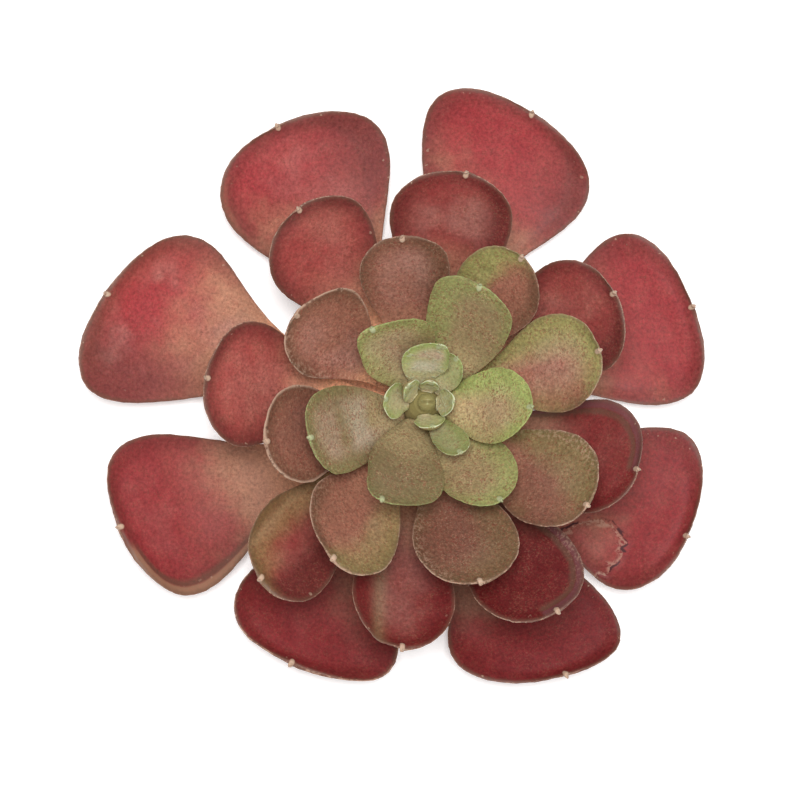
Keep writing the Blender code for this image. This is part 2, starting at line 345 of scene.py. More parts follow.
def open_tree(name, inputs):
    """Start a Geometry Nodes tree with a UV sphere, whose points get a station and a turn."""
    tree = bpy.data.node_groups.new(name, "GeometryNodeTree")
    graph = Graph(tree)
    for socket_name, kind, subtype in inputs:
        socket = tree.interface.new_socket(socket_name, in_out="INPUT", socket_type=kind)
        if subtype != "NONE":
            socket.subtype = subtype
    tree.interface.new_socket("Piece", in_out="OUTPUT", socket_type="NodeSocketGeometry")
    entry = tree.nodes.new("NodeGroupInput")
    size = {socket_name: Value(graph, entry.outputs[socket_name]) for socket_name, _, _ in inputs}
    sphere = graph.add("GeometryNodeMeshUVSphere", {}, Segments=size["Segments"],
                       Rings=size["Rings"], Radius=1.0)
    place = graph.add("GeometryNodeInputPosition", {})
    parts = graph.add("ShaderNodeSeparateXYZ", {}, place).socket.node
    x, y, z = (Value(graph, parts.outputs[axis]) for axis in "XYZ")
    cosine = maths("MINIMUM", maths("MAXIMUM", -z, -1.0), 1.0)
    return graph, size, sphere, maths("ARCCOSINE", cosine) / math.pi, maths("ARCTAN2", y, x)


def close_tree(graph, mesh, placed, stored, skin):
    """Store what the skin reads, move the points into place and end the tree."""
    for name, value in stored.items():
        mesh = graph.add("GeometryNodeStoreNamedAttribute", {"data_type": "FLOAT", "domain": "POINT"},
                         Geometry=mesh, Name=name, Value=value)
    mesh = graph.add("GeometryNodeSetPosition", {}, Geometry=mesh, Position=placed)
    mesh = graph.add("GeometryNodeSetShadeSmooth", {}, Geometry=mesh, Shade_Smooth=True)
    mesh = graph.add("GeometryNodeRealizeInstances", {}, Geometry=mesh)
    mesh = graph.add("GeometryNodeSetMaterial", {}, Geometry=mesh, Material=skin)
    leave = graph.tree.nodes.new("NodeGroupOutput")
    graph.fill(leave.inputs["Piece"], mesh)
    return graph.tree


def make_bud_tree():
    """A low blunt spindle with a cleft between its two new leaves."""
    graph, size, sphere, station, turn = open_tree("Echeveria Bud", BUD_INPUTS)
    swell = maths("SINE", math.pi * station) ** 0.75 * (1.0 - 0.35 * station)
    out = size["Radius"] * swell * maths("COSINE", turn)
    aside = size["Radius"] * swell * maths("SINE", turn)
    dome = (out * out + aside * aside) / (2 * STEM_RADIUS ** 2 / STEM_HEIGHT * MM)
    cleft = maths("EXPONENT", -1.0 * (aside / (0.35 * MM)) ** 2.0) * graph.step(station, 0.5, 0.8)
    up = size["Foot"] + size["Height"] * station - dome * (1.0 - station) - size["Cleft"] * cleft
    placed = graph.add("ShaderNodeCombineXYZ", {}, out, aside, up)
    return close_tree(graph, sphere, placed, {"cleft": cleft}, size["Skin"])


def make_leaf_tree():
    """The leaf's formula as a Geometry Nodes tree: a UV sphere whose points move into place."""
    graph, size, sphere, station, turn = open_tree("Echeveria Leaf", LEAF_INPUTS)
    turn = turn - EDGE_CROWDING * maths("SINE", 2.0 * turn)
    side = maths("COSINE", turn)
    face = maths("SINE", turn)
    foot = clamp(station / FOOT_END)
    flank = clamp((station - FOOT_END) / (FLANK_END - FOOT_END))
    end = clamp((station - FLANK_END) / (BLADE_END - FLANK_END))
    tip = clamp((station - BLADE_END) / (1 - BLADE_END))

    end_rise, end_fall = quarter(end, 2.0 / size["Roundness"])
    along = size["Widest"] * flank + (1.0 - size["Widest"]) * end_rise
    foot_share = quarter(foot, 0.7)[0]
    knob = size["Point Radius"] * quarter(tip, 0.7)[1] * end ** 6.0
    blade = size["Neck"] + (size["Half Width"] - size["Neck"]) * smooth(flank ** size["Flank"])
    width = hypotenuse(blade * foot_share * end_fall, knob)
    end_sine, end_cosine = quarter(end, 2.0)
    edge = (abs(side) ** size["Roundness"] * end_cosine + end_sine) ** (1.0 / size["Roundness"])
    bead = size["Rim Bead"] * graph.step(edge, 0.9, 0.97)
    depth = hypotenuse((size["Thickness"] + bead) * foot_share * quarter(end, 0.5)[1], knob)

    across = width * side
    share = across / size["Half Width"]
    bend = smooth((along - BEND_START) / (1 - BEND_START))
    shifted = across + size["Point Shift"] * size["Half Width"] * (1.0 - share * share) * bend
    spread = smooth(along / FULL_BLADE)
    near_rim = smooth((edge - LIP_START) / (1 - LIP_START))
    lip = size["Lip"] * near_rim * spread
    ripple = (size["Ripple"] * edge ** 3.0 * spread
              * maths("SINE", RIPPLES * station + RIPPLE_LEAN * side + size["Phase"]))
    rise = lip + size["Cup"] * size["Half Width"] * share * share + ripple

    # What a real leaf adds to the plain form: uneven blade, ragged rim, crease, ridge at the point
    flat = graph.add("ShaderNodeCombineXYZ", {}, shifted, along * size["Reach"], 0.0)
    swell = graph.noise(flat, SWELLS / size["Half Width"], seed=size["Seed"]) - 0.5
    rise = rise + size["Unevenness"] * swell * spread * 2.0
    crease = maths("EXPONENT", -1.0 * ((share - size["Crease At"]) / CREASE_WIDTH) ** 2.0)
    crease = crease * graph.step(along, 0.3, 0.6)
    crease = crease * maths("GREATER_THAN", size["Crease"], 0.0)
    rise = rise - size["Crease"] * crease
    from_tip = (1.0 - along) * size["Reach"]
    ridge = maths("EXPONENT", -1.0 * (across / (RIDGE_WIDTH * MM)) ** 2.0)
    ridge = ridge * (1.0 - graph.step(from_tip, RIDGE_WIDTH * MM, RIDGE_LENGTH * MM))
    rise = rise + size["Point Ridge"] * ridge * maths("MAXIMUM", face, 0.0) ** 0.5
    nick = graph.noise(flat, NICK_SCALE, 3.0, 0.6, seed=size["Seed"]) - 0.5
    nick = nick * graph.step(edge, 0.88, 1.0) * spread
    shifted = shifted + size["Nicks"] * nick * side
    blunt = maths("SIGN", face) * abs(face) ** RIM_BLUNTNESS
    rise = rise + depth * (1.0 - RIM_THINNING * near_rim) * blunt + 0.5 * size["Point Length"] * tip * tip

    bending = size["Pitch at Tip"] - size["Pitch at Foot"]
    foot_radius = (STEM_RADIUS * maths("SQRT", 1.0 - (size["Foot Height"] / (STEM_HEIGHT * MM)) ** 2.0)
                   + CLEARANCE) * MM
    foot_turn = size["Foot Bearing"] - size["Bearing"]
    foot_out = foot_radius * maths("COSINE", foot_turn)
    foot_aside = foot_radius * maths("SINE", foot_turn)
    sine_foot = maths("SINE", size["Pitch at Foot"])
    length = (size["Reach"] - foot_out) * bending / (maths("SINE", size["Pitch at Tip"]) - sine_foot)
    reached = along + size["Nicks"] * nick * end_sine / length
    pitch = size["Pitch at Foot"] + bending * (reached + size["Skew"] * shifted * bend / length)
    pitch_sine = maths("SINE", pitch)
    pitch_cosine = maths("COSINE", pitch)
    out = foot_out + length * (pitch_sine - sine_foot) / bending
    up = size["Foot Height"] + length * (maths("COSINE", size["Pitch at Foot"]) - pitch_cosine) / bending
    aside = foot_aside * (1.0 - along) ** 2.0 + size["Bow"] * 4.0 * along * (1.0 - along)

    roll = size["Roll"] * smooth(along)
    roll_sine = maths("SINE", roll)
    roll_cosine = maths("COSINE", roll)
    aside = aside + shifted * roll_cosine - rise * roll_sine
    normal = shifted * roll_sine + rise * roll_cosine
    out = out + size["Point Length"] * tip * pitch_cosine - normal * pitch_sine
    up = up + size["Point Length"] * tip * pitch_sine + normal * pitch_cosine

    ring = (out * out + aside * aside) / ((STEM_RADIUS + CLEARANCE) * MM) ** 2
    inside = maths("SQRT", ring + (up / ((STEM_HEIGHT + CLEARANCE) * MM)) ** 2.0)
    grow = 1.0 / maths("MINIMUM", inside, 1.0)
    local = graph.add("ShaderNodeCombineXYZ", {}, out * grow, aside * grow,
                      maths("MAXIMUM", up * grow, 0.0))
    placed = graph.add("ShaderNodeVectorRotate", {"rotation_type": "Z_AXIS"},
                       Vector=local, Angle=size["Bearing"])

    # A torn patch: the blade stands a little higher inside a ragged arc
    off_centre = graph.add("ShaderNodeVectorMath", {"operation": "DISTANCE"},
                           placed, TEAR_PLACE, output=1)
    ragged = graph.noise(placed, TEAR_SCALE, 3.0, 0.6) - 0.5
    torn = (size["Tear Radius"] - off_centre) / MM + TEAR_RAGGEDNESS * ragged
    torn = torn - 50.0 * maths("LESS_THAN", size["Tear Radius"], 0.1 * MM)
    step_up = graph.add("ShaderNodeCombineXYZ", {}, 0.0, 0.0, TEAR_HEIGHT * graph.step(torn, -0.4, 0.2))
    placed = graph.add("ShaderNodeVectorMath", {"operation": "ADD"}, placed, step_up)

    inward = size["Half Width"] * (1.0 - end_sine) + (1.0 - size["Widest"]) * length * end_sine
    wider = 0.5 * maths("MAXIMUM", size["Band"] - 1.5, 0.0)
    band = size["Band"] * (share + 0.1) + wider
    stored = {"along": along, "edge": edge, "across": share, "upper": face, "point": tip * end,
              "crease": crease, "ridge": ridge, "tone": size["Tone"], "green": size["Green"],
              "bloom": size["Bloom"], "dusk": size["Dusk"] * share,
              "inset": (1.0 - edge) * inward / MM, "rim": size["Rim"],
              "scurf": size["Scurf"] * share, "band": band, "torn": torn,
              "seed": size["Seed"]}
    return close_tree(graph, sphere, placed, stored, size["Skin"])


def leaf_values(whorl, leaf, number, skin, sizes):
    """The leaf tree's inputs for one leaf, in metres and radians."""
    return {
        "Segments": whorl.segments, "Rings": whorl.rings,
        "Bearing": math.radians(leaf.bearing), "Foot Bearing": math.radians(leaf.foot_bearing),
        "Reach": leaf.reach * MM, "Half Width": leaf.half_width * MM,
        "Foot Height": (whorl.foot_height + leaf.raised) * MM,
        "Pitch at Foot": math.radians(whorl.pitch_foot + leaf.lift),
        "Pitch at Tip": math.radians(whorl.pitch_tip + leaf.lift),
        "Widest": leaf.widest or whorl.widest, "Roundness": leaf.roundness or whorl.roundness,
        "Flank": whorl.flank, "Neck": whorl.neck * MM, "Thickness": whorl.thickness * MM,
        "Lip": whorl.lip * MM, "Cup": leaf.cup or whorl.cup,
        "Point Length": whorl.point_length * MM, "Point Radius": whorl.point_radius * MM,
        "Ripple": whorl.ripple * MM, "Point Shift": leaf.point_shift, "Skew": leaf.skew,
        "Bow": leaf.bow * MM, "Roll": math.radians(leaf.roll),
        "Phase": float(number), "Seed": whorl.foot_height + 3.1 * number,
        "Rim Bead": sizes.rim_bead * whorl.thickness, "Nicks": sizes.nicks,
        "Unevenness": sizes.unevenness * min(leaf.half_width / FULL_SWELL_WIDTH, 1),
        "Point Ridge": sizes.point_ridge * whorl.thickness,
        "Crease": leaf.crease * sizes.crease_depth, "Crease At": leaf.crease_at,
        "Tone": leaf.tone, "Green": leaf.green, "Bloom": leaf.bloom, "Dusk": leaf.dusk,
        "Rim": leaf.rim, "Scurf": leaf.scurf, "Band": leaf.band,
        "Tear Radius": leaf.tear * MM, "Skin": skin,
    }


def grow(name, tree, values):
    """Run a tree on an empty mesh and keep the result as a plain mesh object."""
    host = bpy.data.objects.new(name + "_host", bpy.data.meshes.new(name + "_host"))
    bpy.context.scene.collection.objects.link(host)
    modifier = host.modifiers.new("grow", "NODES")
    modifier.node_group = tree
    for item in tree.interface.items_tree:
        if item.in_out == "INPUT":
            modifier[item.identifier] = values[item.name]
    bpy.context.view_layer.update()
    depsgraph = bpy.context.evaluated_depsgraph_get()
    mesh = bpy.data.meshes.new_from_object(host.evaluated_get(depsgraph), depsgraph=depsgraph)
    host.modifiers.remove(modifier)
    bpy.data.objects.remove(host)
    mesh.name = name
    piece = bpy.data.objects.new(name, mesh)
    bpy.context.scene.collection.objects.link(piece)
    return piece


def new_shader(name):
    """A material with a Principled BSDF, and the graph to build its finish in."""
    material = bpy.data.materials.new(name)
    material.use_nodes = True
    graph = Graph(material.node_tree)
    shader = material.node_tree.nodes.new("ShaderNodeBsdfPrincipled")
    output = material.node_tree.nodes.new("ShaderNodeOutputMaterial")
    material.node_tree.links.new(shader.outputs["BSDF"], output.inputs["Surface"])
    return material, graph, shader


def attribute(graph, name):
    return graph.add("ShaderNodeAttribute", {"attribute_name": name}, output=2)


def object_place(graph):
    return graph.add("ShaderNodeTexCoord", {}, output=3)


def scaled(graph, colour, amount):
    """A colour made lighter or darker by a value that varies."""
    return graph.add("ShaderNodeVectorMath", {"operation": "SCALE"}, colour, Scale=amount)


def opaque(colour):
    return (colour[0], colour[1], colour[2], 1.0)


def make_leaf_skin(name, palette, finish):
    """Leaf skin: base, centre and margin colours, speckle, pale rim and point, waxy bloom."""
    material, graph, shader = new_shader(name)
    place = object_place(graph)
    along, edge, upper, inset = (attribute(graph, key) for key in ("along", "edge", "upper", "inset"))
    rim, scurf, band, torn = (attribute(graph, key) for key in ("rim", "scurf", "band", "torn"))
    across, point, crease, ridge = (attribute(graph, key) for key in ("across", "point", "crease", "ridge"))
    tone, green, bloom, dusk, seed = (
        attribute(graph, key) for key in ("tone", "green", "bloom", "dusk", "seed"))

    patches = graph.noise(place, PATCH_SCALE, 3.0, 0.55, seed=seed)
    blotches = graph.noise(place, BLOTCH_SCALE, 4.0, 0.6, seed=seed)
    mottle = graph.noise(place, MOTTLE_SCALE, 2.0, 0.65, seed=seed)

    neck_share = graph.step(along, finish.neck_to - 0.2, finish.neck_to)
    colour = graph.mix(neck_share, opaque(palette.base), opaque(palette.blush))
    warped = along + 0.5 * (patches - 0.5) + 0.15 * (blotches - 0.5)
    blade_share = graph.step(warped, finish.blade_from, finish.blade_to)
    colour = graph.mix(blade_share, colour, opaque(palette.centre))
    patch_share = graph.step(patches + 0.4 * (blotches - 0.5), 0.4, 0.7)
    colour = graph.mix(patch_share * 0.6 * blade_share, colour, opaque(palette.patch))
    margin_share = graph.step(edge + 0.35 * (patches - 0.5) + 0.12 * (blotches - 0.5),
                              finish.margin_from, 1.05)
    # Painted shade on one side of the blade: it darkens toward the margin colour and holds less green.
    margin_share = clamp(margin_share + graph.step(dusk, 0.0, 0.45)) * graph.step(along, 0.4, 0.75)
    colour = graph.mix(margin_share, colour, opaque(palette.margin))
    green_share = clamp(green * graph.step(patches + 0.45 * edge + 0.25 * across - 0.9 * dusk, 0.52, 0.95))
    colour = graph.mix(green_share, colour, opaque(palette.green))
    # Per-leaf brightness: partly each leaf's own colour, partly painted shade and light; leaves set darker
    # also turn deep red.
    colour = graph.mix(clamp((1.0 - tone) * 1.3 * blade_share), colour, opaque(palette.deep))
    colour = graph.mix(crease * 0.7, colour, opaque(palette.crease))
    colour = scaled(graph, colour, tone)

    # Bloom: a pale waxy veil in the hollow of the blade; above 1 it also adds a painted highlight, a
    # whitish glare
    hollow = graph.step(patches, 0.4, 0.68) * (1.0 - graph.step(edge, 0.35, 0.85))
    colour = graph.mix(clamp(bloom * 0.35 * hollow), colour, opaque(palette.bloom))
    glare = graph.step(bloom, 1.0, 2.0) * graph.step(along + 0.2 * (patches - 0.5), 0.3, 0.42)
    glare = glare * (1.0 - graph.step(along + 0.2 * (blotches - 0.5), 0.5, 0.64))
    glare = glare * (1.0 - graph.step(abs(across), 0.3, 0.8))
    colour = graph.mix(glare * 0.6, colour, opaque(palette.glare))

    # Folds: thin whitish ridges of crumpled young leaves
    fold_noise = graph.noise(place, FOLD_SCALE, 2.0, 0.5, seed=seed)
    folds = 1.0 - graph.step(abs(fold_noise - 0.5), 0.005, 0.04)
    folds = folds * graph.step(blotches, 0.4, 0.55) * graph.step(bloom, 0.3, 1.2)
    colour = graph.mix(folds * finish.folds, colour, opaque(palette.rim))

    # Speckle: red-brown, dark green and pale flecks, thicker in some patches
    thick = finish.speckle * (0.5 + 1.2 * graph.step(blotches, 0.35, 0.65))
    red = graph.step(graph.noise(place, RED_FLECK_SCALE, 2.0, 0.6, seed=1.0), 0.48, 0.64)
    dark = graph.step(graph.noise(place, DARK_FLECK_SCALE, 2.0, 0.6, seed=2.0), 0.5, 0.66)
    pale = graph.step(graph.noise(place, PALE_FLECK_SCALE, 2.0, 0.6, seed=3.0), 0.52, 0.68)
    colour = graph.mix(red * thick, colour, opaque(palette.speckle))
    colour = graph.mix(dark * thick * 0.7, colour, opaque(palette.dark_speckle))
    colour = graph.mix(pale * thick * finish.pale, colour, opaque(palette.pale_speckle))
    colour = scaled(graph, colour, 1.0 + finish.mottle * (mottle - 0.5) + 0.4 * (blotches - 0.5))

    # Rolled lip: a tan band along one side, with a dark line inside it
    ragged = inset + 1.1 * (blotches - 0.5) + 0.6 * (mottle - 0.5)
    blade_only = graph.step(along, 0.4, 0.65)
    rolled = graph.step(band, 0.25, 0.5)
    inner_line = graph.step(ragged, 2.2, 2.8) * (1.0 - graph.step(ragged, 3.4, 5.0))
    colour = graph.mix(rolled * inner_line * 0.6, colour, opaque(palette.rim_shadow))
    colour = graph.mix(rolled * (1.0 - graph.step(ragged, 2.0, 2.8)) * 0.7, colour, opaque(palette.lip))

    # Rim: a dark line, then a thin pale line that breaks into flecks
    shadow = (1.0 - graph.step(ragged, 0.3, 1.5)) * blade_only
    colour = graph.mix(shadow * finish.rim_dark, colour, opaque(palette.rim_shadow))
    flaky = graph.step(scurf, 0.15, 0.6) * (1.0 - graph.step(inset, 1.5, 4.5))
    flaky = flaky * graph.step(mottle, 0.5, 0.6)
    colour = graph.mix(flaky * 0.4, colour, opaque(palette.rim))
    edging = (1.0 - graph.step(ragged / rim, 0.05, finish.rim_width)) * blade_only
    broken = blotches + 0.7 * (mottle - 0.5) + 0.1 * (rim - 1.0)
    edging = edging * (0.15 + 0.85 * graph.step(broken, 0.48, 0.6))
    colour = graph.mix(clamp(edging * (1.0 - 0.6 * rolled)), colour, opaque(palette.rim))
    knob = clamp(graph.step(point, 0.0, 0.3) + graph.step(ridge, 0.3, 0.7) * graph.step(upper, 0.0, 0.5))
    colour = graph.mix(knob * 0.85, colour, opaque(palette.point))
    chips = graph.step(graph.noise(place, CHIP_SCALE, 1.0, 0.5, seed=4.0), 0.70, 0.75)
    chips = chips * graph.step(edge, 0.8, 0.97)
    colour = graph.mix(chips * 0.7, colour, opaque(palette.rim))

    # Torn patch: a pale edge, with painted shadow in broken dark streaks below it
    # Painted shadow under the raised torn edge.
    slit = graph.step(torn, -1.1, -0.6) * (1.0 - graph.step(torn, -0.3, 0.1))
    slit = slit * graph.step(blotches, 0.47, 0.53)
    colour = graph.mix(slit * 0.9, colour, opaque(palette.slit))
    flap = graph.step(torn, -0.2, 0.1) * (1.0 - graph.step(torn, 0.3, 1.0))
    flap = flap * graph.step(mottle, 0.4, 0.52)
    colour = graph.mix(flap * 0.5, colour, opaque(palette.rim))

    # Underside: duller and greener than the face
    under = 1.0 - graph.step(upper, -0.25, 0.05)
    colour = graph.mix(under * 0.45, colour, opaque(palette.under))
    graph.fill(shader.inputs["Base Color"], colour)

    rough = 0.55 + 0.25 * (mottle - 0.5) + 0.12 * edging - 0.06 * margin_share
    graph.fill(shader.inputs["Roughness"], clamp(rough))
    relief = blotches * 0.6 + mottle * 0.35 + edging * 0.25 + flaky * 0.5 + folds * finish.folds
    bump = graph.add("ShaderNodeBump", {}, Strength=0.4, Distance=0.3 * MM, Height=relief)
    graph.fill(shader.inputs["Normal"], bump)
    shader.inputs["Specular IOR Level"].default_value = 0.22
    shader.inputs["Subsurface Weight"].default_value = 0.1
    shader.inputs["Subsurface Radius"].default_value = (1.0, 0.3, 0.2)
    shader.inputs["Subsurface Scale"].default_value = 1.2 * MM
    return material


Palette = namedtuple("Palette", "base blush deep centre patch margin green crease speckle "
                                "dark_speckle pale_speckle bloom glare slit rim_shadow rim lip "
                                "point under")
Finish = namedtuple("Finish", "neck_to blade_from blade_to margin_from rim_width rim_dark speckle "
                              "pale mottle folds",
                    defaults=(0.0,))

FINISHES = {
    "outer": Finish(0.5, 0.5, 0.8, 0.6, 0.35, 0.55, 0.22, 0.14, 1.3),
    "second": Finish(0.45, 0.38, 0.7, 0.55, 0.3, 0.5, 0.26, 0.2, 1.3),
    "third": Finish(0.4, 0.25, 0.6, 0.5, 0.38, 0.35, 0.36, 0.4, 1.5),
    "fourth": Finish(0.4, 0.15, 0.6, 0.6, 0.2, 0.1, 0.4, 0.6, 1.3),
    "heart": Finish(0.4, 0.1, 0.5, 0.6, 0.2, 0.1, 0.25, 0.6, 0.8, 0.65),
}


def colour_of(name, description, default):
    return bpy.props.FloatVectorProperty(name=name, description=description, default=default, size=3,
                                         min=0.0, max=1.0, subtype="COLOR")


def length_of(name, description, default):
    return bpy.props.FloatProperty(name=name, description=description, default=default * MM,
                                   min=0.0, unit="LENGTH")


class EcheveriaSizes(bpy.types.PropertyGroup):
    rim_bead: length_of("Rim Bead", "How far the rim thickens, as a share of the blade", 0.08)
    nicks: length_of("Nicks", "How far the rim strays from its smooth outline", 0.8)
    unevenness: length_of("Unevenness", "How far a blade swells and dips", 0.5)
    point_ridge: length_of("Point Ridge", "Height of the ridge that runs in from the point", 0.45)
    crease_depth: length_of("Crease Depth", "Depth of a full crease", 0.9)
    cleft: length_of("Cleft", "Depth of the cleft between the bud's two leaves", 0.8)
    floor_size: length_of("Floor Size", "Side of the square floor", 6000.0)


class EcheveriaColours(bpy.types.PropertyGroup):
    # The necks' own orange-peach and tan pink, made lighter as painted light to offset the shade they lie
    # in.
    base: colour_of("Leaf Base", "Necks of the leaves", (0.68, 0.33, 0.185))
    blush: colour_of("Blush", "Tan pink between a neck and its blade", (0.41, 0.19, 0.118))
    outer: colour_of("Outer Centre", "Middle of an outer leaf", (0.28, 0.032, 0.036))
    outer_patch: colour_of("Outer Patch", "Paler patches of an outer leaf", (0.31, 0.056, 0.052))
    outer_margin: colour_of("Outer Margin", "Band inside an outer leaf's rim", (0.17, 0.038, 0.035))
    # Deep red also darkens the leaves set darker, partly as painted shade.
    deep: colour_of("Deep Red", "Centre of the darkest red leaves", (0.27, 0.013, 0.018))
    second: colour_of("Second Centre", "Middle of a second leaf", (0.22, 0.036, 0.032))
    second_patch: colour_of("Second Patch", "Paler patches of a second leaf", (0.25, 0.068, 0.05))
    second_margin: colour_of("Second Margin", "Band inside a second leaf's rim", (0.10, 0.02, 0.018))
    third: colour_of("Third Centre", "Middle of a third leaf", (0.25, 0.10, 0.065))
    third_patch: colour_of("Third Patch", "Redder patches of a third leaf", (0.255, 0.082, 0.06))
    third_margin: colour_of("Third Margin", "Band inside a third leaf's rim", (0.14, 0.066, 0.038))
    fourth: colour_of("Fourth Centre", "Middle of a fourth leaf", (0.27, 0.20, 0.095))
    fourth_patch: colour_of("Fourth Patch", "Pinker patches of a fourth leaf", (0.32, 0.205, 0.12))
    fourth_margin: colour_of("Fourth Margin", "Band inside a fourth leaf's rim", (0.22, 0.215, 0.075))
    heart: colour_of("Heart Centre", "Middle of a heart leaf", (0.32, 0.33, 0.145))
    heart_patch: colour_of("Heart Patch", "Paler patches of a heart leaf", (0.38, 0.34, 0.19))
    heart_margin: colour_of("Heart Margin", "Band inside a heart leaf's rim", (0.24, 0.31, 0.09))
    olive: colour_of("Olive", "Green cast of the brown leaves", (0.22, 0.205, 0.07))
    fresh: colour_of("Fresh Green", "Green cast of the young leaves", (0.25, 0.29, 0.09))
    crease: colour_of("Crease", "Olive yellow along a crease", (0.28, 0.17, 0.085))
    speckle: colour_of("Speckle", "Fine red-brown speckle", (0.17, 0.035, 0.025))
    dark_speckle: colour_of("Dark Speckle", "Fine dark green speckle", (0.055, 0.05, 0.02))
    pale_speckle: colour_of("Pale Speckle", "Fine pale speckle", (0.50, 0.33, 0.21))
    lip: colour_of("Rolled Lip", "Tan band of a rolled rim", (0.27, 0.15, 0.09))
    worn_lip: colour_of("Worn Lip", "Greyish lilac band of a wrinkled rim", (0.14, 0.052, 0.055))
    bloom: colour_of("Bloom", "Pale waxy veil", (0.50, 0.33, 0.27))
    # A painted highlight: the whitish shine on a blade.
    glare: colour_of("Glare", "Whitish shine of a worn, waxy patch", (0.50, 0.44, 0.36))
    # Painted shadow under the raised torn edge.
    slit: colour_of("Slit", "Dark slit under a torn edge", (0.03, 0.006, 0.008))
    rim_shadow: colour_of("Rim Shadow", "Dark line inside the rim", (0.10, 0.055, 0.035))
    rim: colour_of("Rim", "Thin pale rim", (0.35, 0.225, 0.16))
    young_rim: colour_of("Young Rim", "Thin light green rim of the young leaves", (0.27, 0.36, 0.13))
    heart_rim: colour_of("Heart Rim", "Whitish rim of the heart leaves", (0.46, 0.48, 0.31))
    young_base: colour_of("Young Base", "Necks of the young leaves", (0.44, 0.34, 0.17))
    point: colour_of("Point", "Small pale point of a leaf", (0.46, 0.32, 0.23))
    young_point: colour_of("Young Point", "Small point of a young leaf", (0.36, 0.38, 0.22))
    under: colour_of("Underside", "Back of the leaves", (0.27, 0.12, 0.07))
    stem: colour_of("Stem", "Bark of the stem", (0.24, 0.17, 0.08))
    cut: colour_of("Cut Face", "Pale flesh where the stem was cut", (0.50, 0.45, 0.25))
    bud: colour_of("Bud", "Closed new leaves and the tissue under them", (0.25, 0.21, 0.08))
    floor: colour_of("Floor", "Plain pale floor", (0.9, 0.9, 0.9))


def palette_of(whorl, colours):
    """The colours of one whorl's leaves."""
    young = whorl.name in ("fourth", "heart")
    base, rim = (colours.young_base, colours.young_rim) if young else (colours.base, colours.rim)
    if whorl.name == "heart":
        base, rim = colours.heart_patch, colours.heart_rim
    blush = base if young else colours.blush
    deep = colours.deep if whorl.name in ("outer", "second") else getattr(colours, whorl.name)
    lip = colours.worn_lip if whorl.name == "second" else colours.lip
    return Palette(base, blush, deep, getattr(colours, whorl.name),
                   getattr(colours, whorl.name + "_patch"), getattr(colours, whorl.name + "_margin"),
                   colours.fresh if young else colours.olive, colours.crease, colours.speckle,
                   colours.dark_speckle, colours.pale_speckle, colours.bloom, colours.glare,
                   colours.slit, colours.rim_shadow, rim, lip,
                   colours.young_point if young else colours.point, colours.under)


class WhorlOperator:
    """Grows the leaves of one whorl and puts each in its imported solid's place."""

    def execute(self, context):
        sizes = context.scene.echeveria_sizes
        palette = palette_of(self.whorl, context.scene.echeveria_colours)
        skin = make_leaf_skin(self.whorl.name + "_leaf_skin", palette, FINISHES[self.whorl.name])
        tree = bpy.data.node_groups.get("Echeveria Leaf") or make_leaf_tree()
        for number, leaf in enumerate(LEAVES[self.whorl.name], 1):
            node = "leaf_%s_%d" % (self.whorl.name, number)
            piece = grow("grown_" + node, tree, leaf_values(self.whorl, leaf, number, skin, sizes))
            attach(piece, "root")
            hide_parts(node)
        return {"FINISHED"}


class ECHEVERIA_OT_outer_leaves(WhorlOperator, bpy.types.Operator):
    """Grow the crimson outer leaves"""
    bl_idname = "echeveria.outer_leaves"
    bl_label = "Outer Leaves"
    whorl = OUTER


class ECHEVERIA_OT_second_leaves(WhorlOperator, bpy.types.Operator):
    """Grow the red-brown leaves of the second whorl"""
    bl_idname = "echeveria.second_leaves"
    bl_label = "Second Leaves"
    whorl = SECOND


class ECHEVERIA_OT_third_leaves(WhorlOperator, bpy.types.Operator):
    """Grow the brown-olive leaves of the third whorl"""
    bl_idname = "echeveria.third_leaves"
    bl_label = "Third Leaves"
    whorl = THIRD


class ECHEVERIA_OT_fourth_leaves(WhorlOperator, bpy.types.Operator):
    """Grow the olive-green leaves of the fourth whorl"""
    bl_idname = "echeveria.fourth_leaves"
    bl_label = "Fourth Leaves"
    whorl = FOURTH


class ECHEVERIA_OT_heart_leaves(WhorlOperator, bpy.types.Operator):
    """Grow the small green leaves of the heart"""
    bl_idname = "echeveria.heart_leaves"
    bl_label = "Heart Leaves"
    whorl = HEART


def make_bud_skin(colours):
    material, graph, shader = new_shader("bud_leaf_skin")
    place = object_place(graph)
    mottle = graph.noise(place, 900.0, 3.0, 0.6)
    colour = graph.mix(graph.step(mottle, 0.5, 0.7), opaque(colours.bud), opaque(colours.heart))
    colour = graph.mix(attribute(graph, "cleft") * 0.25, colour, opaque(colours.dark_speckle))
    graph.fill(shader.inputs["Base Color"], colour)
    graph.fill(shader.inputs["Roughness"], 0.5 + 0.2 * (mottle - 0.5))
    bump = graph.add("ShaderNodeBump", {}, Strength=0.4, Distance=0.3 * MM, Height=mottle)
    graph.fill(shader.inputs["Normal"], bump)
    return material


class ECHEVERIA_OT_bud(bpy.types.Operator):
    """Grow the closed bud in the middle"""
    bl_idname = "echeveria.bud"
    bl_label = "Bud"

    def execute(self, context):
        values = {
            "Segments": BUD_SEGMENTS, "Rings": BUD_RINGS,
            "Radius": BUD_RADIUS * MM, "Height": BUD_HEIGHT * MM, "Foot": BUD_FOOT * MM,
            "Cleft": context.scene.echeveria_sizes.cleft,
            "Skin": make_bud_skin(context.scene.echeveria_colours),
        }
        bud = grow("grown_bud", make_bud_tree(), values)
        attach(bud, "root")
        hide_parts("bud")
        return {"FINISHED"}


